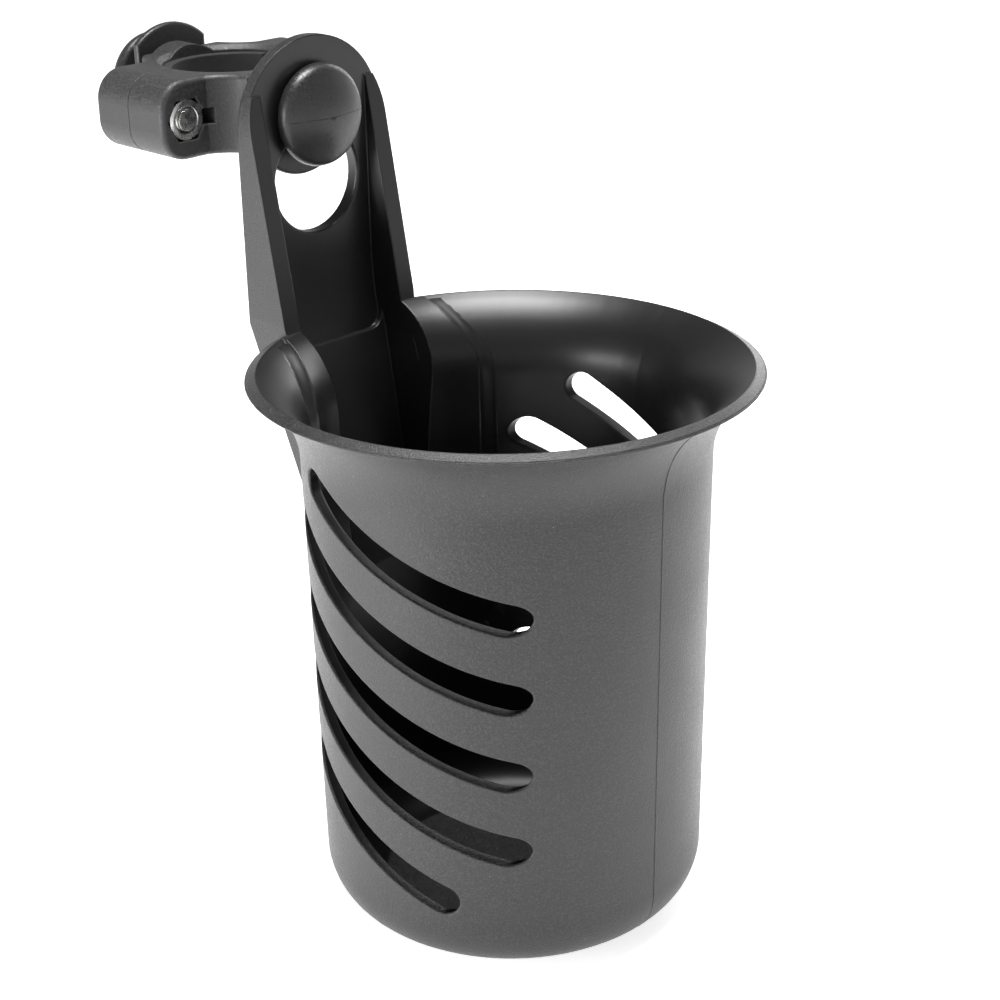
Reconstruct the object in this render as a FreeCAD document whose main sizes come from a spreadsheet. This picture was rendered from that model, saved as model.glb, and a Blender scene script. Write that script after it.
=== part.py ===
import FreeCAD, Part

import math
import os
import re

import Sketcher
from FreeCAD import Placement, Rotation, Vector

# Hang-on cup holder. A slotted cup with a keyhole hanger hangs on one of the two studs of a
# two-piece tube clamp. Millimetres and degrees. The origin is the centre of the cup's underside,
# +Z is up and +Y points from the cup to the tube.

SIZES = {
    # cup
    "rim_height": 114.3,
    "rim_radius": 49.5,
    "lip_width": 1.9,
    "lip_drop": 1.0,
    "flare_start": 97.3,
    "body_radius": 40.0,
    "base_radius": 38.75,
    "base_round": 12.0,
    "wall": 2.3,
    "floor_height": 2.5,
    "band_radius": 36.9,
    "band_rim_radius": 46.2,
    "band_start": 100.0,
    "band_half": 22.0,
    "band_rim_half": 18.3,
    "band_shoulder": 104.0,
    # slots in the cup's two sides
    "slot_half": 3.1,
    "slot_pitch": 16.4,
    "slot_bend": 300.0,
    "slot_bend_y": -128.9,
    "slot_bend_z": 361.1,
    "slot_front": -27.4,
    "slot_front_step": 0.33,
    "slot_rear": 23.3,
    "top_slot_rear": 13.2,
    "low_slot_front": -15.5,
    # hanger
    "arm_back": 56.0,
    "plate": 3.2,
    "arm_half": 17.6,
    "arm_round_height": 152.8,
    "arm_kink_height": 116.0,
    "arm_root": 36.2,
    "spine_slope": 0.27,
    "spine_foot_height": 45.0,
    "spine_foot_half": 9.5,
    "flange_top": 160.5,
    "flange_step": 0.4,
    "flange_rim_front": 44.0,
    "channel_half": 13.7,
    "channel_foot_half": 8.5,
    "channel_foot_height": 50.0,
    "channel_round": 4.0,
    "channel_bend": 60.0,
    "channel_front": 28.0,
    "ledge_height": 107.9,
    "ledge_step": 1.3,
    "big_hole_height": 141.5,
    "big_hole_radius": 10.8,
    "small_hole_height": 154.1,
    "small_hole_radius": 7.03,
    "throat_half": 6.4,
    "hang_drop": 0.78,
    # rounded edges of the cup
    "slot_edge_round": 0.4,
    "keyhole_edge_round": 0.5,
    "arm_edge_round": 0.9,
    # tube clamp
    "grip_radius": 12.5,
    "bore_radius": 14.3,
    "collar_height": 16.0,
    "split_gap": 0.1,
    "lug_half": 26.7,
    "lug_depth": 11.0,
    "lug_round": 6.0,
    "shoulder_half": 15.4,
    "nose_half": 10.0,
    "nose_depth": 17.4,
    "nose_sweep": 9.0,
    "collar_edge_round": 1.2,
    "root_radius": 9.0,
    "root_reach": 20.0,
    "bore_chamfer": 1.0,
    "pad_height": 13.0,
    "pad_angle": 70.0,
    "fit_gap": 0.05,
    # studs
    "spigot_radius": 4.5,
    "barb_radius": 5.2,
    "barb_start": 14.5,
    "barb_end": 15.5,
    "disc_radius": 12.9,
    "disc_flat_half": 8.9,
    "disc_reach": 21.9,
    "neck_radius": 6.2,
    "neck_length": 3.95,
    "plate_gap": 0.35,
    "cap_radius": 10.3,
    "cap_back_round": 1.2,
    "cap_rim_depth": 1.4,
    "cap_rim_round": 2.4,
    "cap_dome_radius": 20.0,
    "disc_edge_round": 0.6,
    # M5 bolts and nuts
    "bolt_x": 20.5,
    "bolt_radius": 2.5,
    "bolt_hole_radius": 2.75,
    "bolt_length": 22.0,
    "head_radius": 4.75,
    "head_height": 2.75,
    "head_crown_radius": 2.4,
    "socket_across": 3.0,
    "socket_depth": 1.6,
    "nut_across": 8.0,
    "nut_height": 4.7,
    "nut_bore_radius": 2.55,
    "nut_pocket_depth": 5.0,
    "nut_pocket_across": 8.3,
    "notch_half": 1.6,
    "notch_reach": 6.4,
    # how far a cutting shape runs past what it cuts
    "overrun": 2.0,
}

PLANE_TURNS = {
    "XZ": Rotation(Vector(1, 0, 0), 90),
    "YZ": Rotation(0.5, 0.5, 0.5, 0.5),
}
ACROSS_EVERYTHING = "400"
CLOSE = 0.01
NEAR = 0.1

doc = FreeCAD.newDocument("cup_holder")
sheet = doc.addObject("Spreadsheet::Sheet", "Sizes")
for row, (alias, size) in enumerate(SIZES.items(), start=1):
    sheet.set("A%d" % row, alias)
    sheet.set("B%d" % row, str(size))
    sheet.setAlias("B%d" % row, alias)
doc.recompute()


def formula(text):
    """A formula in the sheet's words, as an expression that any object can hold."""
    return re.sub(r"\b[a-z]\w*\b", lambda word: "Sizes." * (word[0] in SIZES) + word[0], text)


def number(text):
    """What a formula gives with the sheet as it stands."""
    return float(sheet.evalExpression(formula(text)))


def bind(item, prop, text):
    item.setExpression(prop, formula(text))


# ---- sketches ----------------------------------------------------------------------------------

def free_sketch(name, plane):
    sketch = doc.addObject("Sketcher::SketchObject", name)
    sketch.Placement = Placement(Vector(), PLANE_TURNS[plane])
    return sketch


def body_sketch(body, name, role, offset="0"):
    sketch = body.newObject("Sketcher::SketchObject", name)
    plane = next(item for item in body.Origin.OriginFeatures if item.Role == role)
    sketch.AttachmentSupport = [(plane, "")]
    sketch.MapMode = "FlatFace"
    bind(sketch, "AttachmentOffset.Base.z", offset)
    return sketch


def fix(sketch, kind, place, text):
    """Add one driving dimension and tie it to its formula."""
    index = sketch.addConstraint(Sketcher.Constraint(kind, *place, number(text)))
    sketch.setExpression("Constraints[%d]" % index, formula(text))


def fix_point(sketch, place, x, y):
    for kind, text, axis in (("DistanceX", x, -2), ("DistanceY", y, -1)):
        if text == "0":
            sketch.addConstraint(Sketcher.Constraint("PointOnObject", *place, axis))
        else:
            fix(sketch, kind, place, text)


def arc_between(start, end, radius, clockwise):
    """The shorter arc from start to end, and which of its ends lies at start."""
    chord = end - start
    rise = math.sqrt(max(radius ** 2 - chord.Length ** 2 / 4, 0))
    side = Vector(-chord.y, chord.x, 0).normalize()
    centre = (start + end) / 2 + side * (-rise if clockwise else rise)
    first, last = (end, start) if clockwise else (start, end)
    angles = [math.atan2(point.y - centre.y, point.x - centre.x) for point in (first, last)]
    return Part.ArcOfCircle(Part.Circle(centre, Vector(0, 0, 1), radius), *angles)


def outline(sketch, corners, bends=()):
    """A closed outline. A bend is (edge number, radius formula, clockwise); other edges are straight."""
    bends = {edge: (radius, clockwise) for edge, radius, clockwise in bends}
    points = [Vector(number(x), number(y), 0) for x, y in corners]
    edges = []
    for place, start in enumerate(points):
        end = points[(place + 1) % len(points)]
        if place in bends:
            radius, clockwise = bends[place]
            curve = arc_between(start, end, number(radius), clockwise)
            edges.append((sketch.addGeometry(curve), 2 if clockwise else 1))
            fix(sketch, "Radius", edges[-1][:1], radius)
        else:
            edges.append((sketch.addGeometry(Part.LineSegment(start, end)), 1))
    for place, (edge, head) in enumerate(edges):
        before, before_head = edges[place - 1]
        sketch.addConstraint(Sketcher.Constraint("Coincident", before, 3 - before_head, edge, head))
        fix_point(sketch, (edge, head), *corners[place])


def mirrored(corners):
    """The right half of an outline, bottom to top, closed by its mirror image on the left."""
    left = [("-(%s)" % x, y) for x, y in reversed(corners) if x != "0"]
    return list(corners) + left


def circle(sketch, x, y, radius):
    centre = Vector(number(x), number(y), 0)
    ring = sketch.addGeometry(Part.Circle(centre, Vector(0, 0, 1), number(radius)))
    fix(sketch, "Radius", (ring,), radius)
    fix_point(sketch, (ring, 3), x, y)


def hexagon(sketch, x, across):
    """A hexagon round (x, 0) with two corners on the horizontal through its centre."""
    half, corner = "%s / 2" % across, "%s / 2 / cos(30)" % across
    right = [("%s + %s / 2" % (x, corner), "-%s" % half), ("%s + %s" % (x, corner), "0"),
             ("%s + %s / 2" % (x, corner), half)]
    left = [(text.replace(" + ", " - "), "-(%s)" % y if y != "0" else y) for text, y in right]
    outline(sketch, right + left)


def curved_slot(sketch, centre_y, first_x, last_x):
    """A slot with round ends along an arc, in the side view of the cup."""
    centre = Vector(number("slot_bend_y"), number(centre_y), 0)
    bend = number("slot_bend")
    half = number("slot_half")
    first, last = [-math.acos((number(x) - centre.x) / bend) for x in (first_x, last_x)]

    def arc(middle, radius, start, end):
        curve = Part.ArcOfCircle(Part.Circle(middle, Vector(0, 0, 1), radius), start, end)
        return sketch.addGeometry(curve)

    def on_bend(angle):
        return centre + Vector(math.cos(angle), math.sin(angle), 0) * bend

    lower = arc(centre, bend + half, first, last)
    upper = arc(centre, bend - half, first, last)
    front = arc(on_bend(first), half, first - math.pi, first)
    rear = arc(on_bend(last), half, last, last + math.pi)
    sketch.addConstraint(Sketcher.Constraint("Coincident", upper, 3, lower, 3))
    for end, place, side, side_place in ((front, 1, upper, 1), (front, 2, lower, 1),
                                         (rear, 1, lower, 2), (rear, 2, upper, 2)):
        sketch.addConstraint(Sketcher.Constraint("Tangent", end, place, side, side_place))
    fix_point(sketch, (lower, 3), "slot_bend_y", centre_y)
    fix(sketch, "Radius", (lower,), "slot_bend + slot_half")
    fix(sketch, "Radius", (upper,), "slot_bend - slot_half")
    fix(sketch, "DistanceX", (front, 3), first_x)
    fix(sketch, "DistanceX", (rear, 3), last_x)


# ---- solids ------------------------------------------------------------------------------------

def extruded(name, plane, corners, bends=()):
    """An outline pushed right across the part, to be cut to length by what it meets."""
    sketch = free_sketch(name + "_outline", plane)
    outline(sketch, corners, bends)
    return extruded_sketch(name, sketch)


def extruded_sketch(name, sketch):
    solid = doc.addObject("Part::Extrusion", name)
    solid.Base = sketch
    solid.DirMode = "Normal"
    solid.Solid = True
    solid.Symmetric = True
    bind(solid, "LengthFwd", ACROSS_EVERYTHING)
    return solid


def turned(name, corners, bends):
    """A profile in the XZ plane turned about the Z axis."""
    sketch = free_sketch(name + "_profile", "XZ")
    outline(sketch, corners, bends)
    solid = doc.addObject("Part::Revolution", name)
    solid.Source = sketch
    solid.Axis = Vector(0, 0, 1)
    solid.Angle = 360
    solid.Solid = True
    return solid


def boolean(kind, name, *shapes):
    solid = doc.addObject("Part::" + kind, name)
    if kind == "Cut":
        solid.Base, solid.Tool = shapes
    else:
        solid.Shapes = list(shapes)
    return solid


def hole_along_y(name, height, radius):
    tool = doc.addObject("Part::Cylinder", name)
    tool.Placement = Placement(Vector(), Rotation(Vector(1, 0, 0), -90))
    bind(tool, "Radius", radius)
    bind(tool, "Height", "arm_back + plate")
    bind(tool, "Placement.Base.z", height)
    return tool


def flare_radius(inner, start, outer, top):
    """Radius of the arc that leaves a wall at (inner, start) straight up and ends at (outer, top)."""
    reach, rise = "(%s - (%s))" % (outer, inner), "(%s - (%s))" % (top, start)
    return "(%s ^ 2 + %s ^ 2) / (2 * %s)" % (reach, rise, reach)


# ---- cup ---------------------------------------------------------------------------------------

def cup_wall():
    """The cup's outer form and its two inner forms: the wall's, and the bands' beside the channel."""
    lip_height = "rim_height - lip_drop"
    mouth_radius = "rim_radius - lip_width"
    outside = turned("cup_outside", [
        ("0", "0"),
        ("base_radius - base_round", "0"),
        ("base_radius", "base_round"),
        ("body_radius", "flare_start"),
        ("rim_radius", lip_height),
        (mouth_radius, "rim_height"),
        ("0", "rim_height"),
    ], [
        (1, "base_round", False),
        (3, flare_radius("body_radius", "flare_start", "rim_radius", lip_height), True),
    ])
    inner_round = "base_round - wall"
    inside = turned("cup_inside", [
        ("0", "floor_height"),
        ("base_radius - base_round", "floor_height"),
        ("base_radius - wall", "floor_height + %s" % inner_round),
        ("body_radius - wall", "flare_start"),
        (mouth_radius, "rim_height"),
        ("0", "rim_height"),
    ], [
        (1, inner_round, False),
        (3, flare_radius("body_radius - wall", "flare_start", mouth_radius, "rim_height"), True),
    ])
    band_inside = turned("band_inside", [
        ("0", "floor_height"),
        ("band_radius", "floor_height"),
        ("band_radius", "band_start"),
        ("band_rim_radius", "rim_height"),
        ("0", "rim_height"),
    ], [
        (2, flare_radius("band_radius", "band_start", "band_rim_radius", "rim_height"), True),
    ])
    return outside, inside, band_inside


def spine_back(height):
    """How far back the spine's rear face is at a height below the arm's kink."""
    return "arm_back - (arm_kink_height - %s) * spine_slope" % height


def hanger_arm():
    """The arm in side view, cut to its front view: plate, side flanges and tapering spine."""
    plate_front = "arm_back - plate"
    side = extruded("arm_side", "YZ", [
        ("arm_root", "spine_foot_height"),
        (spine_back("spine_foot_height"), "spine_foot_height"),
        ("arm_back", "arm_kink_height"),
        ("arm_back", "arm_round_height + arm_half + overrun"),
        (plate_front, "arm_round_height + arm_half + overrun"),
        (plate_front, "flange_top"),
        ("%s - flange_step" % plate_front, "flange_top"),
        ("flange_rim_front", "rim_height"),
        ("arm_root", "flare_start"),
    ])
    front = extruded("arm_front", "XZ", [
        ("-spine_foot_half", "spine_foot_height"),
        ("spine_foot_half", "spine_foot_height"),
        ("arm_half", "arm_kink_height"),
        ("arm_half", "arm_round_height"),
        ("0", "arm_round_height + arm_half"),
        ("-arm_half", "arm_round_height"),
        ("-arm_half", "arm_kink_height"),
    ], [(3, "arm_half", False), (4, "arm_half", False)])
    return boolean("MultiCommon", "arm", side, front)


def arm_channel():
    """The channel between the arm's flanges, open to the cup, with a ledge just below the rim."""
    top = "arm_round_height + arm_half + overrun"
    tangent = "channel_bend * tan(atan(spine_slope) / 2)"
    bend_start = "arm_kink_height - %s * cos(atan(spine_slope))" % tangent

    def cut(name, front_view, front_bends, foot, plate_front):
        face = extruded(name + "_front", "XZ", front_view, front_bends)
        side = extruded(name + "_side", "YZ", [
            ("channel_front", foot),
            ("%s - arm_back + %s" % (spine_back("(%s)" % foot), plate_front), foot),
            ("%s - arm_back + %s" % (spine_back("(%s)" % bend_start), plate_front), bend_start),
            (plate_front, "arm_kink_height + " + tangent),
            (plate_front, top),
            ("channel_front", top),
        ], [(2, "channel_bend", False)])
        return boolean("MultiCommon", name, side, face)

    lower = cut("lower_channel", mirrored([
        ("channel_foot_half", "channel_foot_height"),
        ("channel_half", "ledge_height"),
        ("channel_half", top),
    ]), (), "channel_foot_height", "arm_back - plate - ledge_step")
    upper = cut("upper_channel", mirrored([
        ("channel_half - channel_round", "ledge_height"),
        ("channel_half", "ledge_height + channel_round"),
        ("channel_half", top),
    ]), [(0, "channel_round", False), (4, "channel_round", False)],
        "ledge_height - overrun", "arm_back - plate")
    return lower, upper


def keyhole():
    """The big hole lets the stud's cap through, the small one rests on its neck. Both lie above the rim."""
    throat = doc.addObject("Part::Box", "keyhole_throat")
    bind(throat, "Length", "2 * throat_half")
    bind(throat, "Width", "arm_back + plate")
    bind(throat, "Height", "small_hole_height - big_hole_height")
    bind(throat, "Placement.Base.x", "-throat_half")
    bind(throat, "Placement.Base.z", "big_hole_height")
    big = hole_along_y("keyhole_mouth", "big_hole_height", "big_hole_radius")
    small = hole_along_y("keyhole_seat", "small_hole_height", "small_hole_radius")
    return throat, big, small


def side_slots():
    """Five curved slots, cut straight through both sides of the cup."""
    sketch = free_sketch("slots_outline", "YZ")
    fronts = ["slot_front + %d * slot_front_step" % place for place in range(4)] + ["low_slot_front"]
    rears = ["top_slot_rear"] + ["slot_rear"] * 4
    for place, (first, last) in enumerate(zip(fronts, rears)):
        curved_slot(sketch, "slot_bend_z - %d * slot_pitch" % place, first, last)
    return extruded_sketch("slots", sketch)


def rounded(name, base, size, test):
    """Round the edges of a solid that pass the test."""
    doc.recompute()
    step = doc.addObject("Part::Fillet", name)
    step.Base = base
    edges = enumerate(base.Shape.Edges, start=1)
    step.Edges = [(place, number(size), number(size)) for place, edge in edges if test(edge)]
    return step


def lies_at_back(edge):
    """True for an edge in the plane of the hanger plate's back face."""
    box = edge.BoundBox
    return box.YMin > number("arm_back") - CLOSE and box.ZMax > box.ZMin


def lies_round_keyhole(edge):
    """True for an edge in the plate's front or back face, inside the flanges and above the ledge."""
    box = edge.BoundBox
    flat = box.YMax - box.YMin < CLOSE and box.YMin > number("arm_back - plate") - CLOSE
    inside = max(box.XMax, -box.XMin) < number("big_hole_radius") + NEAR
    return flat and inside and box.ZMax < number("small_hole_height + small_hole_radius") + NEAR


def lies_round_slot(edge):
    """True for a slot's edge on the cup's outer or inner wall, but not one through the wall."""
    box = edge.BoundBox
    on_side = max(box.XMin, -box.XMax) > number("slot_front + body_radius")
    in_reach = (box.YMin > number("slot_front - slot_half - overrun")
                and box.YMax < number("slot_rear + slot_half + overrun"))
    in_height = box.ZMin > number("floor_height") and box.ZMax < number("band_shoulder")
    seam = max(abs(box.YMin), abs(box.YMax)) < CLOSE
    return on_side and in_reach and in_height and not seam and not is_line_along(edge, Vector(1, 0, 0))


def make_cup():
    outside, inside, band_inside = cup_wall()
    hung = boolean("MultiFuse", "cup_and_arm", outside, hanger_arm())
    hollow = boolean("Cut", "hollow_cup", hung, inside)
    band_front = extruded("band_front", "XZ", mirrored([
        ("band_half", "floor_height"),
        ("band_half", "band_shoulder"),
        ("band_rim_half", "rim_height + overrun"),
    ]))
    behind = doc.addObject("Part::Box", "rear_side")
    bind(behind, "Length", "2 * rim_radius")
    bind(behind, "Width", "rim_radius")
    bind(behind, "Height", "rim_height + overrun")
    bind(behind, "Placement.Base.x", "-rim_radius")
    band_block = boolean("MultiCommon", "band_block", outside, band_front, behind)
    bands = boolean("Cut", "bands", band_block, band_inside)
    banded = boolean("MultiFuse", "banded_cup", hollow, bands)
    tools = boolean("MultiFuse", "cup_tools", *arm_channel(), *keyhole(), side_slots())
    sharp = boolean("Cut", "sharp_cup", banded, tools)
    eased = rounded("eased_slots", sharp, "slot_edge_round", lies_round_slot)
    hung = rounded("eased_keyhole", eased, "keyhole_edge_round", lies_round_keyhole)
    return rounded("cup", hung, "arm_edge_round",
                   lambda edge: lies_at_back(edge) and not lies_round_keyhole(edge))


# ---- clamp -------------------------------------------------------------------------------------

def new_body(name):
    return doc.addObject("PartDesign::Body", name)


def feature(body, kind, name, sketch):
    step = body.newObject("PartDesign::" + kind, name)
    step.Profile = sketch
    sketch.Visibility = False
    return step


def cut_through(body, name, sketch):
    step = feature(body, "Pocket", name, sketch)
    step.Type = "ThroughAll"
    step.SideType = "Symmetric"
    return step


def turn_about(body, name, sketch, kind="Revolution"):
    step = feature(body, kind, name, sketch)
    step.ReferenceAxis = (sketch, ["V_Axis"])
    step.Angle = 360
    return step


def dress(body, kind, name, size, test):
    """Round or chamfer the body's edges that pass the test."""
    doc.recompute()
    base = body.Tip
    names = ["Edge%d" % place for place, edge in enumerate(base.Shape.Edges, start=1) if test(edge)]
    step = body.newObject("PartDesign::" + kind, name)
    step.Base = (base, names)
    bind(step, "Radius" if kind == "Fillet" else "Size", size)
    return step


def is_line_along(edge, axis):
    return isinstance(edge.Curve, Part.Line) and abs(edge.Curve.Direction.dot(axis)) > 0.999


def place_on_clamp(item, x, turned_round):
    """Put a clamp piece, built about the tube's axis, at its place; the rear ones are turned round."""
    item.Placement = Placement(Vector(), Rotation(Vector(0, 0, 1), 180 if turned_round else 0))
    bind(item, "Placement.Base.x", x)
    bind(item, "Placement.Base.y", "arm_back + plate_gap + disc_reach")
    bind(item, "Placement.Base.z", "small_hole_height + hang_drop")


def make_clamp_half(name, turned_round):
    """Half a collar with a bolt lug on each side and a boss that takes the stud's spigot."""
    body = new_body(name)
    plan = body_sketch(body, name + "_plan", "XY_Plane")
    outline(plan, mirrored([
        ("nose_half", "-nose_depth"),
        ("shoulder_half", "-lug_depth"),
        ("lug_half", "-lug_depth"),
        ("lug_half", "-split_gap"),
    ]), [(0, "nose_sweep", True), (6, "nose_sweep", True)])
    collar = feature(body, "Pad", name + "_collar", plan)
    collar.SideType = "Symmetric"
    bind(collar, "Length", "collar_height")
    dress(body, "Fillet", name + "_lug_ends", "lug_round", lambda edge: is_line_along(
        edge, Vector(0, 1, 0)) and abs(edge.CenterOfMass.x) > number("lug_half") - NEAR)
    dress(body, "Fillet", name + "_outer_edges", "collar_edge_round", lambda edge: (
        edge.BoundBox.YMax < -number("split_gap") - NEAR and not is_line_along(edge, Vector(0, 0, 1))))

    root = body_sketch(body, name + "_root_profile", "XY_Plane")
    outline(root, [("0", "-root_reach"), ("root_radius", "-root_reach"),
                   ("root_radius", "-lug_depth"), ("0", "-lug_depth")])
    turn_about(body, name + "_root", root)

    bore = body_sketch(body, name + "_bore_circle", "XY_Plane")
    circle(bore, "0", "0", "bore_radius")
    cut_through(body, name + "_bore", bore)
    spigot = body_sketch(body, name + "_spigot_circle", "XZ_Plane")
    circle(spigot, "0", "0", "spigot_radius + fit_gap")
    cut_through(body, name + "_spigot_hole", spigot)
    barb = body_sketch(body, name + "_barb_profile", "XY_Plane")
    outline(barb, [("0", "-barb_end - fit_gap"), ("barb_radius + fit_gap", "-barb_end - fit_gap"),
                   ("barb_radius + fit_gap", "-lug_depth"), ("0", "-lug_depth")])
    turn_about(body, name + "_barb_recess", barb, "Groove")
    bolts = body_sketch(body, name + "_bolt_circles", "XZ_Plane")
    for x in ("-bolt_x", "bolt_x"):
        circle(bolts, x, "0", "bolt_hole_radius")
    cut_through(body, name + "_bolt_holes", bolts)

    pocket_floor = "lug_depth - nut_pocket_depth"
    hexagonal = body_sketch(body, name + "_nut_outline", "XZ_Plane", pocket_floor)
    hexagon(hexagonal, "-bolt_x", "nut_pocket_across")
    notch = body_sketch(body, name + "_notch_outline", "XZ_Plane", pocket_floor)
    outline(notch, [("-bolt_x", "-notch_half"), ("notch_reach - bolt_x", "-notch_half"),
                    ("notch_reach - bolt_x", "notch_half"), ("-bolt_x", "notch_half")])
    for label, sketch in (("_nut_pocket", hexagonal), ("_notch", notch)):
        pocket = feature(body, "Pocket", name + label, sketch)
        pocket.Type = "ThroughAll"
        pocket.Reversed = True

    dress(body, "Chamfer", name + "_bore_edges", "bore_chamfer", lambda edge: isinstance(
        edge.Curve, Part.Circle) and abs(edge.Curve.Radius - number("bore_radius")) < CLOSE
        and abs(abs(edge.CenterOfMass.z) - number("collar_height") / 2) < CLOSE)
    place_on_clamp(body, "0", turned_round)
    return body


def make_grip_pad(name, turned_round):
    """A rubber lining on the bore's wall, shorter than the collar and clear of the split."""
    body = new_body(name)
    arcs = body_sketch(body, name + "_outline", "XY_Plane")
    outer = "(bore_radius - fit_gap)"
    ends = [("%s * sin(pad_angle)" % radius, "-%s * cos(pad_angle)" % radius)
            for radius in ("grip_radius", outer)]
    left = [("-" + x, y) for x, y in ends]
    outline(arcs, [left[1], ("0", "-" + outer), ends[1], ends[0], ("0", "-grip_radius"), left[0]],
            [(0, outer, False), (1, outer, False), (3, "grip_radius", True), (4, "grip_radius", True)])
    pad = feature(body, "Pad", name + "_lining", arcs)
    pad.SideType = "Symmetric"
    bind(pad, "Length", "pad_height")
    place_on_clamp(body, "0", turned_round)
    return body


def is_on_disc_rim(edge):
    """True for an outer edge of a stud's disc, on its front or back face."""
    box = edge.BoundBox
    on_face = box.YLength < CLOSE and -number("disc_reach") - CLOSE < box.YMin < -number("root_reach")
    return on_face and box.DiagonalLength > number("disc_radius")


def make_stud(name, turned_round):
    """Spigot with a snap bead, double-D disc, round neck and domed cap, turned about its axis."""
    body = new_body(name)
    profile = body_sketch(body, name + "_profile", "XY_Plane")
    disc_inner = "root_reach + fit_gap"
    cap_inner = "disc_reach + neck_length"
    cap_rim = "%s + cap_rim_depth" % cap_inner
    # The small arc of the cap's rim runs smoothly into the large arc of its dome.
    between = "(cap_dome_radius - cap_rim_round)"
    rise = "sqrt(%s ^ 2 - (cap_radius - cap_rim_round) ^ 2)" % between
    outline(profile, [
        ("0", "-barb_start"),
        ("0", "-(%s + cap_dome_radius - %s)" % (cap_rim, rise)),
        ("cap_dome_radius * (cap_radius - cap_rim_round) / %s" % between,
         "-(%s + %s * cap_rim_round / %s)" % (cap_rim, rise, between)),
        ("cap_radius", "-(%s)" % cap_rim),
        ("cap_radius", "-(%s + cap_back_round)" % cap_inner),
        ("cap_radius - cap_back_round", "-(%s)" % cap_inner),
        ("neck_radius", "-(%s)" % cap_inner),
        ("neck_radius", "-disc_reach"),
        ("disc_radius", "-disc_reach"),
        ("disc_radius", "-(%s)" % disc_inner),
        ("spigot_radius", "-(%s)" % disc_inner),
        ("spigot_radius", "-barb_end"),
        ("barb_radius", "-barb_end"),
        ("barb_radius", "-barb_start"),
    ], [(1, "cap_dome_radius", False), (2, "cap_rim_round", False), (4, "cap_back_round", False)])
    turn_about(body, name + "_turned", profile)
    flats = body_sketch(body, name + "_flats_outline", "XY_Plane")
    for side in ("", "-"):
        outline(flats, [(side + "disc_flat_half", "-disc_reach"),
                        (side + "(disc_radius + overrun)", "-disc_reach"),
                        (side + "(disc_radius + overrun)", "-(%s)" % disc_inner),
                        (side + "disc_flat_half", "-(%s)" % disc_inner)])
    cut_through(body, name + "_flats", flats)
    dress(body, "Fillet", name + "_disc_edges", "disc_edge_round", is_on_disc_rim)
    place_on_clamp(body, "0", turned_round)
    return body


def make_bolt(name, x, turned_round):
    """Button-head socket bolt; its head sits on the lug's outer face."""
    body = new_body(name)
    profile = body_sketch(body, name + "_profile", "XY_Plane")
    seat = "lug_depth + fit_gap"
    crown = "%s + head_height" % seat
    outline(profile, [
        ("0", "bolt_length - lug_depth"),
        ("0", "-(%s)" % crown),
        ("head_crown_radius", "-(%s)" % crown),
        ("head_radius", "-(%s)" % seat),
        ("bolt_radius", "-(%s)" % seat),
        ("bolt_radius", "bolt_length - lug_depth"),
    ], [(2, "head_radius", False)])
    turn_about(body, name + "_turned", profile)
    socket = body_sketch(body, name + "_socket_outline", "XZ_Plane", "%s - socket_depth" % crown)
    hexagon(socket, "0", "socket_across")
    step = feature(body, "Pocket", name + "_socket", socket)
    step.Type = "ThroughAll"
    step.Reversed = True
    place_on_clamp(body, x, turned_round)
    return body


def make_nut(name, x, turned_round):
    body = new_body(name)
    floor = "lug_depth - nut_pocket_depth + fit_gap"
    hexagonal = body_sketch(body, name + "_outline", "XZ_Plane", floor)
    hexagon(hexagonal, "0", "nut_across")
    block = feature(body, "Pad", name + "_block", hexagonal)
    bind(block, "Length", "nut_height")
    bore = body_sketch(body, name + "_bore_circle", "XZ_Plane")
    circle(bore, "0", "0", "nut_bore_radius")
    cut_through(body, name + "_bore", bore)
    place_on_clamp(body, x, turned_round)
    return body


# ---- assembly ----------------------------------------------------------------------------------

pieces = {"cup": make_cup()}
for end, turned_round in (("front", False), ("rear", True)):
    for label, make in (("%s_clamp_half", make_clamp_half), ("%s_grip_pad", make_grip_pad),
                        ("%s_stud", make_stud)):
        pieces[label % end] = make(label % end, turned_round)
for side, x, turned_round in (("left", "-bolt_x", True), ("right", "bolt_x", False)):
    pieces[side + "_bolt"] = make_bolt(side + "_bolt", x, turned_round)
    pieces[side + "_nut"] = make_nut(side + "_nut", x, not turned_round)
for label, piece in pieces.items():
    piece.Label = label
doc.recompute()

for item in doc.Objects:
    if set(item.State) & {"Invalid", "Error"}:
        raise RuntimeError("%s failed: %s" % (item.Name, item.State))
for label, piece in pieces.items():
    if piece.Shape.isNull() or not piece.Shape.isValid():
        raise RuntimeError("%s has no valid shape" % label)

os.makedirs("parts", exist_ok=True)
for label, piece in pieces.items():
    piece.Shape.exportStep("parts/%s.step" % label)
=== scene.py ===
"""Looks for the clamp-on cup holder: materials, moulding details, threads, light and camera."""
import math

import bmesh
import bpy
from mathutils import Matrix, Vector
from mathutils.bvhtree import BVHTree


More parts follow.
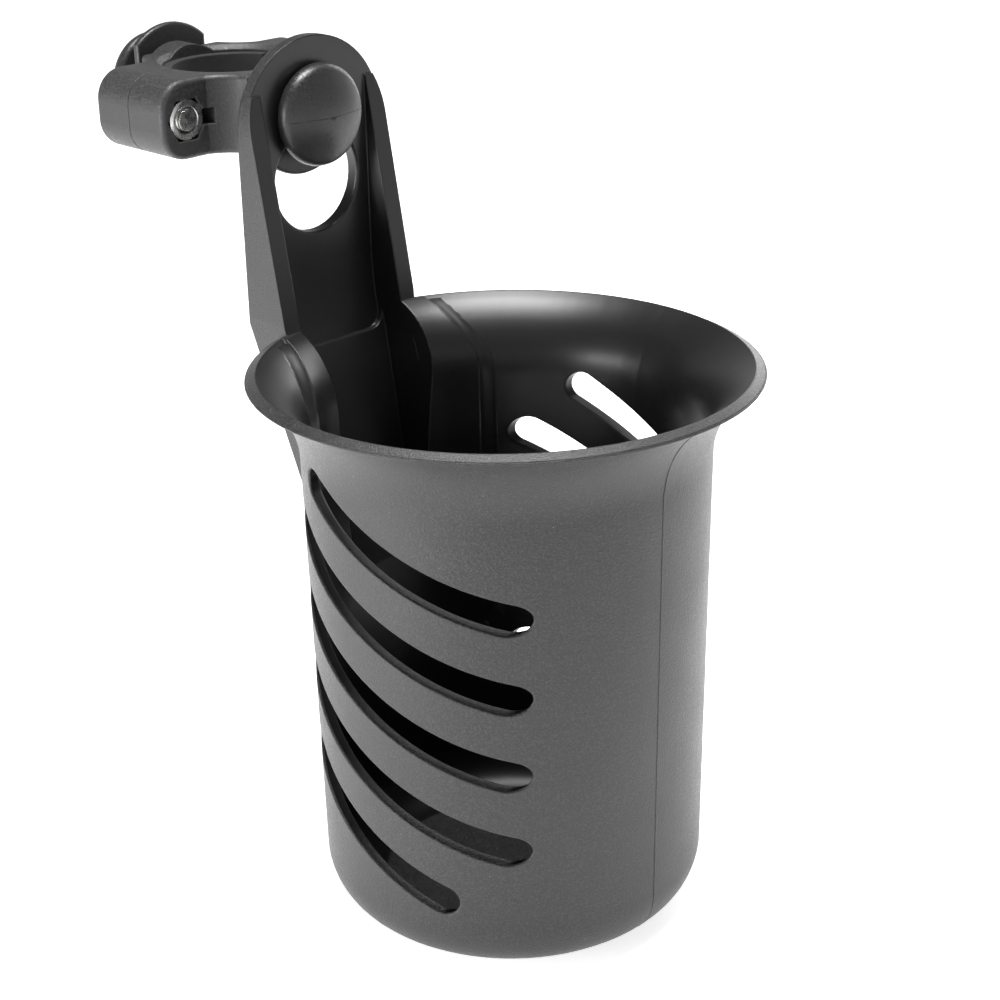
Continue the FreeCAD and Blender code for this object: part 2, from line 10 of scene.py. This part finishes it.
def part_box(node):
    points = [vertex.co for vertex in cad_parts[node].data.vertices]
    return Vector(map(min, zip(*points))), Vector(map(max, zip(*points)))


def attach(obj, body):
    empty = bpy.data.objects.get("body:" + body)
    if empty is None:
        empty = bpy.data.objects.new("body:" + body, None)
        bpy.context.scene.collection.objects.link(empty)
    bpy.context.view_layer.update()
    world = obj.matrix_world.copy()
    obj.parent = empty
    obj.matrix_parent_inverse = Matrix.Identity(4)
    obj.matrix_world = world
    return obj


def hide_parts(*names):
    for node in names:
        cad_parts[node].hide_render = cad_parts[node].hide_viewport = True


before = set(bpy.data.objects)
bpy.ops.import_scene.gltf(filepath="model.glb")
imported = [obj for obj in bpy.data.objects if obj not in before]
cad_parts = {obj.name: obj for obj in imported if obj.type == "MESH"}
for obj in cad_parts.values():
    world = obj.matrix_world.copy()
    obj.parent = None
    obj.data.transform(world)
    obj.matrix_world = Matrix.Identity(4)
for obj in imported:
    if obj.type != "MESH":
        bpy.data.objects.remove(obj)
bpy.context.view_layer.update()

MM = 0.001

# Where the camera stands: the point it looks at, how far away it is, and its angles.
VIEW_TARGET = Vector((5.4, 7.6, 82.1)) * MM
VIEW_DISTANCE = 425.06 * MM
VIEW_AZIMUTH = math.radians(-44.82)
VIEW_ELEVATION = math.radians(22.66)
VIEW_ROLL = math.radians(-1.11)
VIEW_LENS = 76.2

# Light: the floor's own glow, and the room's brightness level with the object and overhead, which
# fades up to a direction whose height is FADE_TOP.
FLOOR_GLOW = 0.75
FLOOR_HALF = 3.0
HORIZON = 0.7
ZENITH = 0.14
FADE_TOP = 0.6

# Every surface: the radius that its edges seem eased to, and the angle that stays a sharp edge.
EDGE_RADIUS = 0.5 * MM
SHARP_ANGLE = math.radians(35)

# Moulded plastic. A fleck fades in where the fine noise passes through FLECK_EDGE. Clouds vary the
# grey and the roughness, and sharp edges are paler in patches: partly wear, partly a painted
# highlight.
PLASTIC_INDEX = 1.49
FLECK_EDGE = (0.46, 0.68)
CLOUD_SIZE = 18 * MM
CLOUD_SWING = 0.15
GRAIN_ROUGHNESS_SWING = 0.1
CLOUD_ROUGHNESS_SWING = 0.03
WEAR_AND_HIGHLIGHT_LEAST, WEAR_AND_HIGHLIGHT_MOST = 0.1, 0.4
WEAR_AND_HIGHLIGHT_TIMES_PALER = 3.5
DUST_SPACING = 5 * MM
DUST_EDGE = (0.012, 0.03)
DUST_GREY = 0.4

# The cup's outside has a soft sheen. Its inside has little grain and is painted with shade: a plain
# grey at FLARE_SHADE times level, which from the foot of the flare down to DEEP_HEIGHT darkens to
# DEEP_SHADE times level as painted shade, while the inside grows less glossy.
SHEEN = 0.05
SHEEN_ROUGHNESS = 0.35
INSIDE_GRAIN = 0.04
FLARE_FOOT = 103 * MM
DEEP_HEIGHT = 85 * MM
FLARE_SHADE, DEEP_SHADE = 0.8, 0.25
FLARE_GLOSS, DEEP_GLOSS = 0.5, 0.14

# Steel.
MOTTLE_SIZE = 1.6 * MM
STEEL_GRAIN = 0.25 * MM
STEEL_RELIEF = 0.01 * MM

# Mould marks: the parting lines and the lip's fine edge.
LINE_RADIUS = 0.07 * MM
LINE_FOOT = 0.8 * MM
LINE_TOP = 112.9 * MM
LINE_STEP_HEIGHT = 99 * MM
LINE_STEP = 0.25 * MM
LINE_POINTS = 91
CAP_LINE_HALF = 9.6 * MM
CAP_LINE_POINTS = 25
LIP_BEAD_RADIUS = 0.22 * MM
LIP_HEIGHT = 113.1 * MM
LIP_POINTS = 181
ARM_HALF = 17.8 * MM
BEAD_SIDES = 8

# The bands inside the cup narrow above their shoulder. A soft hollow runs up beside each of them.
BAND_HALF = 22 * MM
BAND_SHOULDER = 104 * MM
BAND_TAPER = 3.7 / 12.3
HOLLOW_FOOT = 16 * MM
HOLLOW_TOP = 113.7 * MM
HOLLOW_WIDTH = 3.2 * MM
HOLLOW_OVERLAP = 0.15 * MM
HOLLOW_RINGS = 71
HOLLOW_POINTS = 9

# M5 button-head bolts and nuts.
THREAD_PITCH = 0.8 * MM
THREAD_DEPTH = 0.42 * MM
THREAD_START = 4.35 * MM
FLANK_STEEPNESS = 1.3
STATIONS_A_TURN = 8
RING_STEPS = 48
BOLT_RADIUS = 2.5 * MM
THREAD_RUNOUT = 0.5 * MM
TIP_ROUND = 0.05 * MM
TIP_RADIUS = 1.75 * MM
HEAD_RADIUS = 4.75 * MM
HEAD_HEIGHT = 2.75 * MM
HEAD_RINGS = 9
HEAD_EDGE = 0.15 * MM
CROWN_RADIUS = 2.4 * MM
SOCKET_ACROSS = 3.0 * MM
SOCKET_DEPTH = 1.6 * MM
SOCKET_CHAMFER = 0.12 * MM
DRILL_DEPTH = 2.0 * MM
DRILL_RADIUS = 0.15 * MM
# The head's rim, underside and the round under it: how far past the head's height, and the radius.
UNDER_HEAD = ((-0.02 * MM, 4.7 * MM), (0.0, 4.55 * MM), (0.0, 2.65 * MM), (0.15 * MM, 2.49 * MM))
NUT_BORE_RADIUS = 2.55 * MM
NUT_BORE_CHAMFER = 0.25 * MM
NUT_THREAD_DEPTH = 0.2 * MM
NUT_FACE_SHARE = 0.97
NUT_CHAMFER_ANGLE = math.radians(30)
NUT_CHAMFER_STEPS = 5


# ---- shader nodes ------------------------------------------------------------------------------

def set_range(node, low, high, to_low, to_high):
    """Numbers of a node that moves a value from the range low to high to another range."""
    names = ("From Min", "From Max", "To Min", "To Max")
    for name, number in zip(names, (low, high, to_low, to_high)):
        node.inputs[name].default_value = number


class Shader:
    """A material's node tree, with short ways to add and join nodes."""

    def __init__(self, name):
        self.material = bpy.data.materials.new(name)
        self.material.use_nodes = True
        self.tree = self.material.node_tree
        self.tree.nodes.clear()
        self.surface = self.node("ShaderNodeBsdfPrincipled")
        output = self.node("ShaderNodeOutputMaterial")
        self.join(self.surface.outputs[0], output.inputs["Surface"])
        self.place = self.node("ShaderNodeTexCoord").outputs["Object"]

    def node(self, kind, **settings):
        made = self.tree.nodes.new(kind)
        for key, value in settings.items():
            setattr(made, key, value)
        return made

    def join(self, source, target):
        self.tree.links.new(source, target)

    def feed(self, target, value):
        if hasattr(value, "is_output"):
            self.join(value, target)
        else:
            target.default_value = value

    def noise(self, size, detail=2.0, roughness=0.5):
        """Noise whose grains are about size across, in metres; values 0 to 1."""
        made = self.node("ShaderNodeTexNoise")
        self.join(self.place, made.inputs["Vector"])
        made.inputs["Scale"].default_value = 1 / size
        made.inputs["Detail"].default_value = detail
        made.inputs["Roughness"].default_value = roughness
        return made.outputs["Fac"]

    def cells(self, size):
        """Distance to the nearest of a field of points about size apart."""
        made = self.node("ShaderNodeTexVoronoi")
        self.join(self.place, made.inputs["Vector"])
        made.inputs["Scale"].default_value = 1 / size
        return made.outputs["Distance"]

    def scaled(self, value, low, high, to_low, to_high):
        """The value moved from the range low to high into the range to_low to to_high."""
        made = self.node("ShaderNodeMapRange")
        self.feed(made.inputs["Value"], value)
        set_range(made, low, high, to_low, to_high)
        return made.outputs["Result"]

    def maths(self, operation, first, second=0.0):
        made = self.node("ShaderNodeMath", operation=operation)
        self.feed(made.inputs[0], first)
        self.feed(made.inputs[1], second)
        return made.outputs["Value"]

    def mix(self, factor, first, second):
        made = self.node("ShaderNodeMix", data_type="RGBA")
        self.feed(made.inputs["Factor"], factor)
        self.feed(made.inputs["A"], first)
        self.feed(made.inputs["B"], second)
        return made.outputs["Result"]

    def bump(self, height, depth, under):
        """The direction under with relief of a depth, in metres, added to it."""
        made = self.node("ShaderNodeBump")
        self.feed(made.inputs["Height"], height)
        made.inputs["Distance"].default_value = depth
        self.join(under, made.inputs["Normal"])
        return made.outputs["Normal"]

    def vector(self, operation, first, second=None, result="Vector"):
        made = self.node("ShaderNodeVectorMath", operation=operation)
        self.feed(made.inputs[0], first)
        if second is not None:
            self.feed(made.inputs[1], second)
        return made.outputs[result]

    def rounded_normal(self, radius):
        """The surface's direction, eased across sharp edges as if they had a small radius."""
        made = self.node("ShaderNodeBevel", samples=6)
        made.inputs["Radius"].default_value = radius
        return made.outputs["Normal"]

    def edge_wear_and_highlight(self, eased):
        """1 along sharp edges, where the eased direction leaves the true one, and 0 elsewhere."""
        true_normal = self.node("ShaderNodeNewGeometry").outputs["Normal"]
        return self.scaled(self.vector("DISTANCE", eased, true_normal, "Value"), 0.1, 0.5, 0.0, 1.0)

    def inside(self):
        """1 on walls that face the cup's axis and 0 on walls that face away from it."""
        level = self.vector("MULTIPLY", self.place, (1.0, 1.0, 0.0))
        outwards = self.vector("NORMALIZE", level)
        normal = self.node("ShaderNodeNewGeometry").outputs["Normal"]
        facing_out = self.vector("DOT_PRODUCT", normal, outwards, "Value")
        return self.scaled(facing_out, -0.1, 0.1, 1.0, 0.0)

    def deep_inside(self, inner):
        """1 on the cup's inner walls low in the cup, easing to 0 where its flare begins; the
        painted shade is darkest where it is 1.
        """
        place = self.node("ShaderNodeSeparateXYZ")
        self.join(self.place, place.inputs[0])
        depth = self.scaled(place.outputs["Z"], DEEP_HEIGHT, FLARE_FOOT, 1.0, 0.0)
        return self.maths("MULTIPLY", inner, depth)


def grey(level, tint=0.0):
    return (level, level, level * (1 + tint), 1.0)


def moulded_plastic(name, level, fleck, rough, grain, depth, dust=0.0, smooth_inside=0.0):
    """Dark moulded plastic: flecked grain, faint cloudiness and edges made paler by scuffing and a
    painted highlight.

    Level is the grey between the flecks and fleck is their own; grain is their size and depth
    their relief. Dust is the strength of a few pale specks. Only the cup has an inside, which is
    less rough by smooth_inside and carries painted shade, darkest low in the cup.
    """
    shader = Shader(name)
    fine = shader.noise(grain, detail=3.0, roughness=0.6)
    broad = shader.noise(CLOUD_SIZE, detail=3.0, roughness=0.5)
    cloud = shader.scaled(broad, 0.3, 0.7, 0.0, 1.0)
    base = shader.mix(cloud, grey(level * (1 - CLOUD_SWING), 0.05),
                      grey(level * (1 + CLOUD_SWING), 0.05))
    speckled = shader.mix(shader.scaled(fine, *FLECK_EDGE, 0.0, 1.0), base, grey(fleck, 0.04))
    eased = shader.rounded_normal(EDGE_RADIUS)
    # Paler sharp edges: partly wear, partly a painted highlight.
    patchy = shader.scaled(broad, 0.35, 0.65, WEAR_AND_HIGHLIGHT_LEAST, WEAR_AND_HIGHLIGHT_MOST)
    wear_and_highlight = shader.maths("MULTIPLY", shader.edge_wear_and_highlight(eased), patchy)
    surface_colour = shader.mix(wear_and_highlight, speckled, grey(level * WEAR_AND_HIGHLIGHT_TIMES_PALER, 0.03))
    if dust:
        specks = shader.scaled(shader.cells(DUST_SPACING), *DUST_EDGE, dust, 0.0)
        surface_colour = shader.mix(specks, surface_colour, grey(DUST_GREY))
    if smooth_inside:
        inner = shader.inside()
        deep = shader.deep_inside(inner)
        swing = shader.maths("MULTIPLY", shader.maths("SUBTRACT", fine, 0.5),
                             shader.scaled(inner, 0.0, 1.0, 1.0, INSIDE_GRAIN))
        fine = shader.maths("ADD", swing, 0.5)
        rough = shader.scaled(inner, 0.0, 1.0, rough, rough - smooth_inside)
    grain_swing = shader.scaled(fine, 0.35, 0.65, -GRAIN_ROUGHNESS_SWING, GRAIN_ROUGHNESS_SWING)
    cloud_swing = shader.scaled(broad, 0.3, 0.7, -CLOUD_ROUGHNESS_SWING, CLOUD_ROUGHNESS_SWING)
    roughness = shader.maths("ADD", shader.maths("ADD", grain_swing, cloud_swing), rough)
    if smooth_inside:
        sheen = shader.scaled(inner, 0.0, 1.0, SHEEN, 0.0)
        shader.feed(shader.surface.inputs["Sheen Weight"], sheen)
        shader.surface.inputs["Sheen Roughness"].default_value = SHEEN_ROUGHNESS
        # Painted shade: the inside takes a plain grey darker than level, darkest low in the cup.
        shade = shader.mix(deep, grey(level * FLARE_SHADE), grey(level * DEEP_SHADE))
        surface_colour = shader.mix(inner, surface_colour, shade)
        gloss = shader.scaled(deep, 0.0, 1.0, FLARE_GLOSS, DEEP_GLOSS)
        shader.feed(shader.surface.inputs["Specular IOR Level"], gloss)
    shader.feed(shader.surface.inputs["Base Color"], surface_colour)
    shader.feed(shader.surface.inputs["Roughness"], roughness)
    shader.feed(shader.surface.inputs["Normal"], shader.bump(fine, depth, eased))
    shader.surface.inputs["IOR"].default_value = PLASTIC_INDEX
    return shader.material


def steel(name):
    """Bright plated steel, faintly mottled."""
    shader = Shader(name)
    mottle = shader.noise(MOTTLE_SIZE, detail=4.0, roughness=0.6)
    tone = shader.mix(mottle, grey(0.5, -0.03), grey(0.78, -0.02))
    shader.feed(shader.surface.inputs["Base Color"], tone)
    shader.feed(shader.surface.inputs["Roughness"], shader.scaled(mottle, 0.3, 0.7, 0.2, 0.38))
    shader.surface.inputs["Metallic"].default_value = 1.0
    eased = shader.rounded_normal(EDGE_RADIUS / 3)
    relief = shader.bump(shader.noise(STEEL_GRAIN), STEEL_RELIEF, eased)
    shader.feed(shader.surface.inputs["Normal"], relief)
    return shader.material


def paint(piece, material):
    piece.data.materials.clear()
    piece.data.materials.append(material)


# The cup's plastic alone has an inside: less rough, and carrying painted shade.
cup_plastic = moulded_plastic("cup_plastic", level=0.008, fleck=0.038, rough=0.44,
                              grain=0.4 * MM, depth=0.14 * MM, dust=0.5, smooth_inside=0.1)
clamp_plastic = moulded_plastic("clamp_plastic", level=0.018, fleck=0.036, rough=0.5,
                                grain=0.5 * MM, depth=0.09 * MM)
stud_plastic = moulded_plastic("stud_plastic", level=0.014, fleck=0.022, rough=0.38,
                               grain=0.4 * MM, depth=0.015 * MM)
lining_rubber = moulded_plastic("lining_rubber", level=0.014, fleck=0.022, rough=0.7,
                                grain=0.3 * MM, depth=0.03 * MM)
bright_steel = steel("steel")

FINISHES = {
    "cup": cup_plastic,
    "front_clamp_half": clamp_plastic,
    "rear_clamp_half": clamp_plastic,
    "front_stud": stud_plastic,
    "rear_stud": stud_plastic,
    "front_grip_pad": lining_rubber,
    "rear_grip_pad": lining_rubber,
}
for node, finish in FINISHES.items():
    paint(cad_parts[node], finish)


# ---- mesh pieces -------------------------------------------------------------------------------

def piece_from(name, shape, body, material):
    """A finished piece: a mesh that rides on a body and is painted with the given material."""
    bmesh.ops.recalc_face_normals(shape, faces=shape.faces)
    mesh = bpy.data.meshes.new(name)
    shape.to_mesh(mesh)
    shape.free()
    piece = bpy.data.objects.new(name, mesh)
    bpy.context.scene.collection.objects.link(piece)
    mesh.shade_smooth()
    mesh.set_sharp_from_angle(angle=SHARP_ANGLE)
    paint(piece, material)
    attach(piece, body)
    return piece


def join_rings(shape, rings, closed=False):
    """Faces between rings of points; the first and last are filled, or joined if closed."""
    loops = [[shape.verts.new(point) for point in ring] for ring in rings]
    pairs = list(zip(loops, loops[1:]))
    if closed:
        pairs.append((loops[-1], loops[0]))
    else:
        shape.faces.new(loops[0])
        shape.faces.new(loops[-1])
    for first, second in pairs:
        for place in range(len(first)):
            after = (place + 1) % len(first)
            shape.faces.new((first[place], first[after], second[after], second[place]))


def bead(name, path, radius, body, material):
    """A fine round bead along a path, half sunk in the surface that the path lies on."""
    rings = []
    for place, point in enumerate(path):
        along = (path[min(place + 1, len(path) - 1)] - path[max(place - 1, 0)]).normalized()
        side = along.orthogonal() if not rings else side - along * side.dot(along)
        side = side.normalized()
        other = along.cross(side)
        turns = [2 * math.pi * step / BEAD_SIDES for step in range(BEAD_SIDES)]
        rings.append([point + (side * math.cos(turn) + other * math.sin(turn)) * radius
                      for turn in turns])
    shape = bmesh.new()
    join_rings(shape, rings)
    return piece_from(name, shape, body, material)


def spread(first, last, count):
    """Evenly spaced numbers from first to last."""
    return [first + (last - first) * place / (count - 1) for place in range(count)]


def surface_points(node, starts, direction):
    """Where rays from the starting points first meet a CAD node."""
    tree = BVHTree.FromObject(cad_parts[node], bpy.context.evaluated_depsgraph_get())
    hits = [tree.ray_cast(start, direction)[0] for start in starts]
    return [hit for hit in hits if hit is not None]


# ---- mould marks -------------------------------------------------------------------------------

def make_cup_parting_line():
    """The fine line up the cup's front where the mould's two halves met; it steps at the flare."""
    in_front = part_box("cup")[0].y * 2
    starts = []
    for height in spread(LINE_FOOT, LINE_TOP, LINE_POINTS):
        shift = LINE_STEP if height > LINE_STEP_HEIGHT else 0.0
        starts.append(Vector((shift, in_front, height)))
    path = surface_points("cup", starts, Vector((0, 1, 0)))
    bead("cup_parting_line", path, LINE_RADIUS, "cup", cup_plastic)


def make_lip_bead():
    """A fine raised edge round the lip's outside, from one side of the hanger to the other."""
    rim_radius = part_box("cup")[1].x
    gap = math.asin(ARM_HALF / rim_radius)
    behind = math.pi / 2
    path = [Vector((rim_radius * math.cos(turn), rim_radius * math.sin(turn), LIP_HEIGHT))
            for turn in spread(behind + gap, behind + 2 * math.pi - gap, LIP_POINTS)]
    bead("cup_lip_edge", path, LIP_BEAD_RADIUS, "cup", cup_plastic)


def make_band_hollow(side, outwards):
    """The soft hollow between the raised band inside the cup and the wall beside it."""
    heights = spread(HOLLOW_FOOT, HOLLOW_TOP, HOLLOW_RINGS)

    def points_beside(shift):
        """Points up the cup's inner face, set off from the band's edge."""
        edges = [BAND_HALF - BAND_TAPER * max(0.0, height - BAND_SHOULDER) for height in heights]
        starts = [Vector((edge + shift, 0, height)) for edge, height in zip(edges, heights)]
        return surface_points("cup", starts, Vector((0, 1, 0)))

    rings = []
    for on_band, on_wall in zip(points_beside(-HOLLOW_OVERLAP), points_beside(HOLLOW_WIDTH)):
        band_radius, wall_radius = on_band.xy.length, on_wall.xy.length
        band_turn, wall_turn = math.atan2(on_band.x, on_band.y), math.atan2(on_wall.x, on_wall.y)
        section = [(band_turn + (wall_turn - band_turn) * share,
                    band_radius + (wall_radius - band_radius) * share * share * (3 - 2 * share))
                   for share in spread(0.0, 1.0, HOLLOW_POINTS)]
        sunk_radius = wall_radius + HOLLOW_OVERLAP
        section += [(wall_turn, sunk_radius), (band_turn, sunk_radius)]
        rings.append([Vector((outwards * radius * math.sin(turn), radius * math.cos(turn),
                              on_band.z)) for turn, radius in section])
    shape = bmesh.new()
    join_rings(shape, rings)
    piece_from("cup_band_ramp_" + side, shape, "cup", cup_plastic)


def make_cap_parting_line(end, outwards):
    """The fine line across a stud's cap, in line with the bolts."""
    low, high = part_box(end + "_stud")
    centre = (low + high) / 2
    beyond = centre.y + outwards * (high.y - low.y)
    starts = [Vector((centre.x + across, beyond, centre.z))
              for across in spread(-CAP_LINE_HALF, CAP_LINE_HALF, CAP_LINE_POINTS)]
    path = surface_points(end + "_stud", starts, Vector((0, -outwards, 0)))
    bead(end + "_stud_parting_line", path, LINE_RADIUS, end + "_stud", stud_plastic)


# ---- bolts and nuts ----------------------------------------------------------------------------

def hexagon_radius(turn, across):
    """How far a hexagon's side is from its centre in one direction."""
    sector = math.pi / 3
    return across / 2 / math.cos((turn + sector / 2) % sector - sector / 2)


def thread_radius(turn, along, outer, depth):
    """Radius of a 60-degree thread, flattened at its crest and root."""
    phase = (along / THREAD_PITCH - turn / (2 * math.pi)) % 1.0
    ridge = 1 - abs(2 * phase - 1)
    flank = (ridge - 0.5) * FLANK_STEEPNESS + 0.5
    return outer - depth * (1 - min(max(flank, 0.0), 1.0))


def ring_at(centre, along, outwards, radius_at):
    """A ring of points round an axis that runs along Y."""
    points = []
    for step in range(RING_STEPS):
        turn = 2 * math.pi * step / RING_STEPS
        radius = radius_at(turn)
        points.append(Vector((centre.x + radius * math.cos(turn), along * outwards + centre.y,
                              centre.z + radius * math.sin(turn))))
    return points


def thread_stations(first, last):
    return spread(first, last, round((last - first) / THREAD_PITCH * STATIONS_A_TURN) + 1)


def make_bolt(side, outwards):
    """Button-head socket bolt. Distances run from the head's crown towards the tip."""
    node = side + "_bolt"
    low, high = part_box(node)
    length = high.y - low.y
    crown = Vector(((low.x + high.x) / 2, high.y if outwards > 0 else low.y, (low.z + high.z) / 2))

    def ring(along, radius_at):
        return ring_at(crown, along, -outwards, radius_at)

    def round_ring(along, radius):
        return ring(along, lambda turn: radius)

    def socket(turn):
        return hexagon_radius(turn, SOCKET_ACROSS)

    rings = [round_ring(DRILL_DEPTH, DRILL_RADIUS), ring(SOCKET_DEPTH, socket),
             ring(SOCKET_CHAMFER, socket), ring(0, lambda turn: socket(turn) + SOCKET_CHAMFER)]
    dome = math.acos(CROWN_RADIUS / HEAD_RADIUS)
    for angle in spread(dome, 0.0, HEAD_RINGS):
        rings.append(round_ring((HEAD_HEIGHT - HEAD_EDGE) * (1 - math.sin(angle) / math.sin(dome)),
                                HEAD_RADIUS * math.cos(angle)))
    rings += [round_ring(HEAD_HEIGHT + past, radius) for past, radius in UNDER_HEAD]
    for along in thread_stations(THREAD_START, length - THREAD_RUNOUT):
        depth = THREAD_DEPTH * min(1.0, (along - THREAD_START) / THREAD_PITCH)
        rings.append(ring(along, lambda turn: thread_radius(turn, along, BOLT_RADIUS, depth)))
    rings += [round_ring(length - TIP_ROUND, BOLT_RADIUS - THREAD_DEPTH),
              round_ring(length, TIP_RADIUS)]
    shape = bmesh.new()
    join_rings(shape, rings)
    piece = piece_from(side + "_threaded_bolt", shape, node, bright_steel)
    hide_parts(node)


def make_nut(side, body):
    """Hexagon nut with turned corners and a threaded bore."""
    node = side + "_nut"
    low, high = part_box(node)
    centre = Vector(((low.x + high.x) / 2, low.y, (low.z + high.z) / 2))
    height = high.y - low.y
    across = high.z - low.z

    def ring(along, radius_at):
        return ring_at(centre, along, 1, radius_at)

    def turned(limit):
        return lambda turn: min(hexagon_radius(turn, across), limit)

    corner = across / 2 / math.cos(math.pi / 6)
    slope = math.tan(NUT_CHAMFER_ANGLE)
    face_radius = across / 2 * NUT_FACE_SHARE
    mouth = NUT_BORE_RADIUS + NUT_BORE_CHAMFER
    root = NUT_BORE_RADIUS + NUT_THREAD_DEPTH
    limits = spread(face_radius, corner, NUT_CHAMFER_STEPS + 1)[1:]
    rings = [ring(0, lambda turn: mouth), ring(0, lambda turn: face_radius)]
    rings += [ring(slope * (limit - face_radius), turned(limit)) for limit in limits]
    rings += [ring(height - slope * (limit - face_radius), turned(limit))
              for limit in reversed(limits)]
    rings += [ring(height, lambda turn: face_radius), ring(height, lambda turn: mouth)]
    for along in reversed(thread_stations(NUT_THREAD_DEPTH, height - NUT_THREAD_DEPTH)):
        rings.append(ring(along, lambda turn: thread_radius(turn, along, root, NUT_THREAD_DEPTH)))
    shape = bmesh.new()
    join_rings(shape, rings, closed=True)
    piece = piece_from(side + "_threaded_nut", shape, body, bright_steel)
    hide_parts(node)


make_cup_parting_line()
make_lip_bead()
make_band_hollow("left", -1)
make_band_hollow("right", 1)
for end, outwards in (("front", -1), ("rear", 1)):
    make_cap_parting_line(end, outwards)
make_bolt("left", 1)
make_bolt("right", -1)
make_nut("left", "front_half")
make_nut("right", "rear_half")


# ---- stage -------------------------------------------------------------------------------------

def make_floor():
    shape = bmesh.new()
    bmesh.ops.create_grid(shape, x_segments=1, y_segments=1, size=FLOOR_HALF)
    mesh = bpy.data.meshes.new("floor")
    shape.to_mesh(mesh)
    shape.free()
    floor = bpy.data.objects.new("floor", mesh)
    bpy.context.scene.collection.objects.link(floor)
    shader = Shader("pale_floor")
    shader.feed(shader.surface.inputs["Base Color"], grey(0.93))
    shader.surface.inputs["Roughness"].default_value = 0.6
    shader.surface.inputs["Specular IOR Level"].default_value = 0.2
    shader.feed(shader.surface.inputs["Emission Color"], grey(1.0))
    shader.surface.inputs["Emission Strength"].default_value = FLOOR_GLOW
    paint(floor, shader.material)


def area_light(name, place, towards, width, height, power):
    data = bpy.data.lights.new(name, "AREA")
    data.shape = "RECTANGLE"
    data.size = width
    data.size_y = height
    data.energy = power
    light = bpy.data.objects.new(name, data)
    light.location = place
    light.rotation_euler = (Vector(towards) - Vector(place)).to_track_quat("-Z", "Y").to_euler()
    bpy.context.scene.collection.objects.link(light)


def make_light():
    """A white room: bright near the horizon, dim overhead, plain white behind the object."""
    world = bpy.data.worlds.new("studio")
    world.use_nodes = True
    tree = world.node_tree
    background = tree.nodes["Background"]
    background.inputs["Color"].default_value = grey(1.0)
    direction = tree.nodes.new("ShaderNodeSeparateXYZ")
    tree.links.new(tree.nodes.new("ShaderNodeTexCoord").outputs["Generated"], direction.inputs[0])
    fade = tree.nodes.new("ShaderNodeMapRange")
    fade.interpolation_type = "SMOOTHSTEP"
    tree.links.new(direction.outputs["Z"], fade.inputs["Value"])
    set_range(fade, 0.0, FADE_TOP, HORIZON, ZENITH)
    seen = tree.nodes.new("ShaderNodeMath")
    seen.operation = "MAXIMUM"
    tree.links.new(fade.outputs["Result"], seen.inputs[0])
    tree.links.new(tree.nodes.new("ShaderNodeLightPath").outputs["Is Camera Ray"], seen.inputs[1])
    tree.links.new(seen.outputs["Value"], background.inputs["Strength"])
    bpy.context.scene.world = world
    area_light("left_softbox", (-0.7, 0.2, 0.1), towards=(0, 0, 0.07), width=0.4, height=0.4,
               power=6.5)
    area_light("right_softbox", (0.75, 0.2, 0.35), towards=(0, 0, 0.08), width=0.4, height=0.6,
               power=3)
    area_light("top_softbox", (-0.01, -0.01, 1.0), towards=(0, 0, 0.1), width=0.5, height=0.3,
               power=16)


def make_camera():
    towards = Vector((math.sin(VIEW_AZIMUTH) * math.cos(VIEW_ELEVATION),
                      -math.cos(VIEW_AZIMUTH) * math.cos(VIEW_ELEVATION), math.sin(VIEW_ELEVATION)))
    data = bpy.data.cameras.new("camera")
    data.lens = VIEW_LENS
    data.clip_start = 0.01
    camera = bpy.data.objects.new("camera", data)
    turn = towards.to_track_quat("Z", "Y").to_matrix().to_4x4() @ Matrix.Rotation(VIEW_ROLL, 4, "Z")
    camera.matrix_world = Matrix.Translation(VIEW_TARGET + towards * VIEW_DISTANCE) @ turn
    bpy.context.scene.collection.objects.link(camera)
    bpy.context.scene.camera = camera


make_floor()
make_light()
make_camera()
bpy.context.scene.view_settings.view_transform = "Standard"
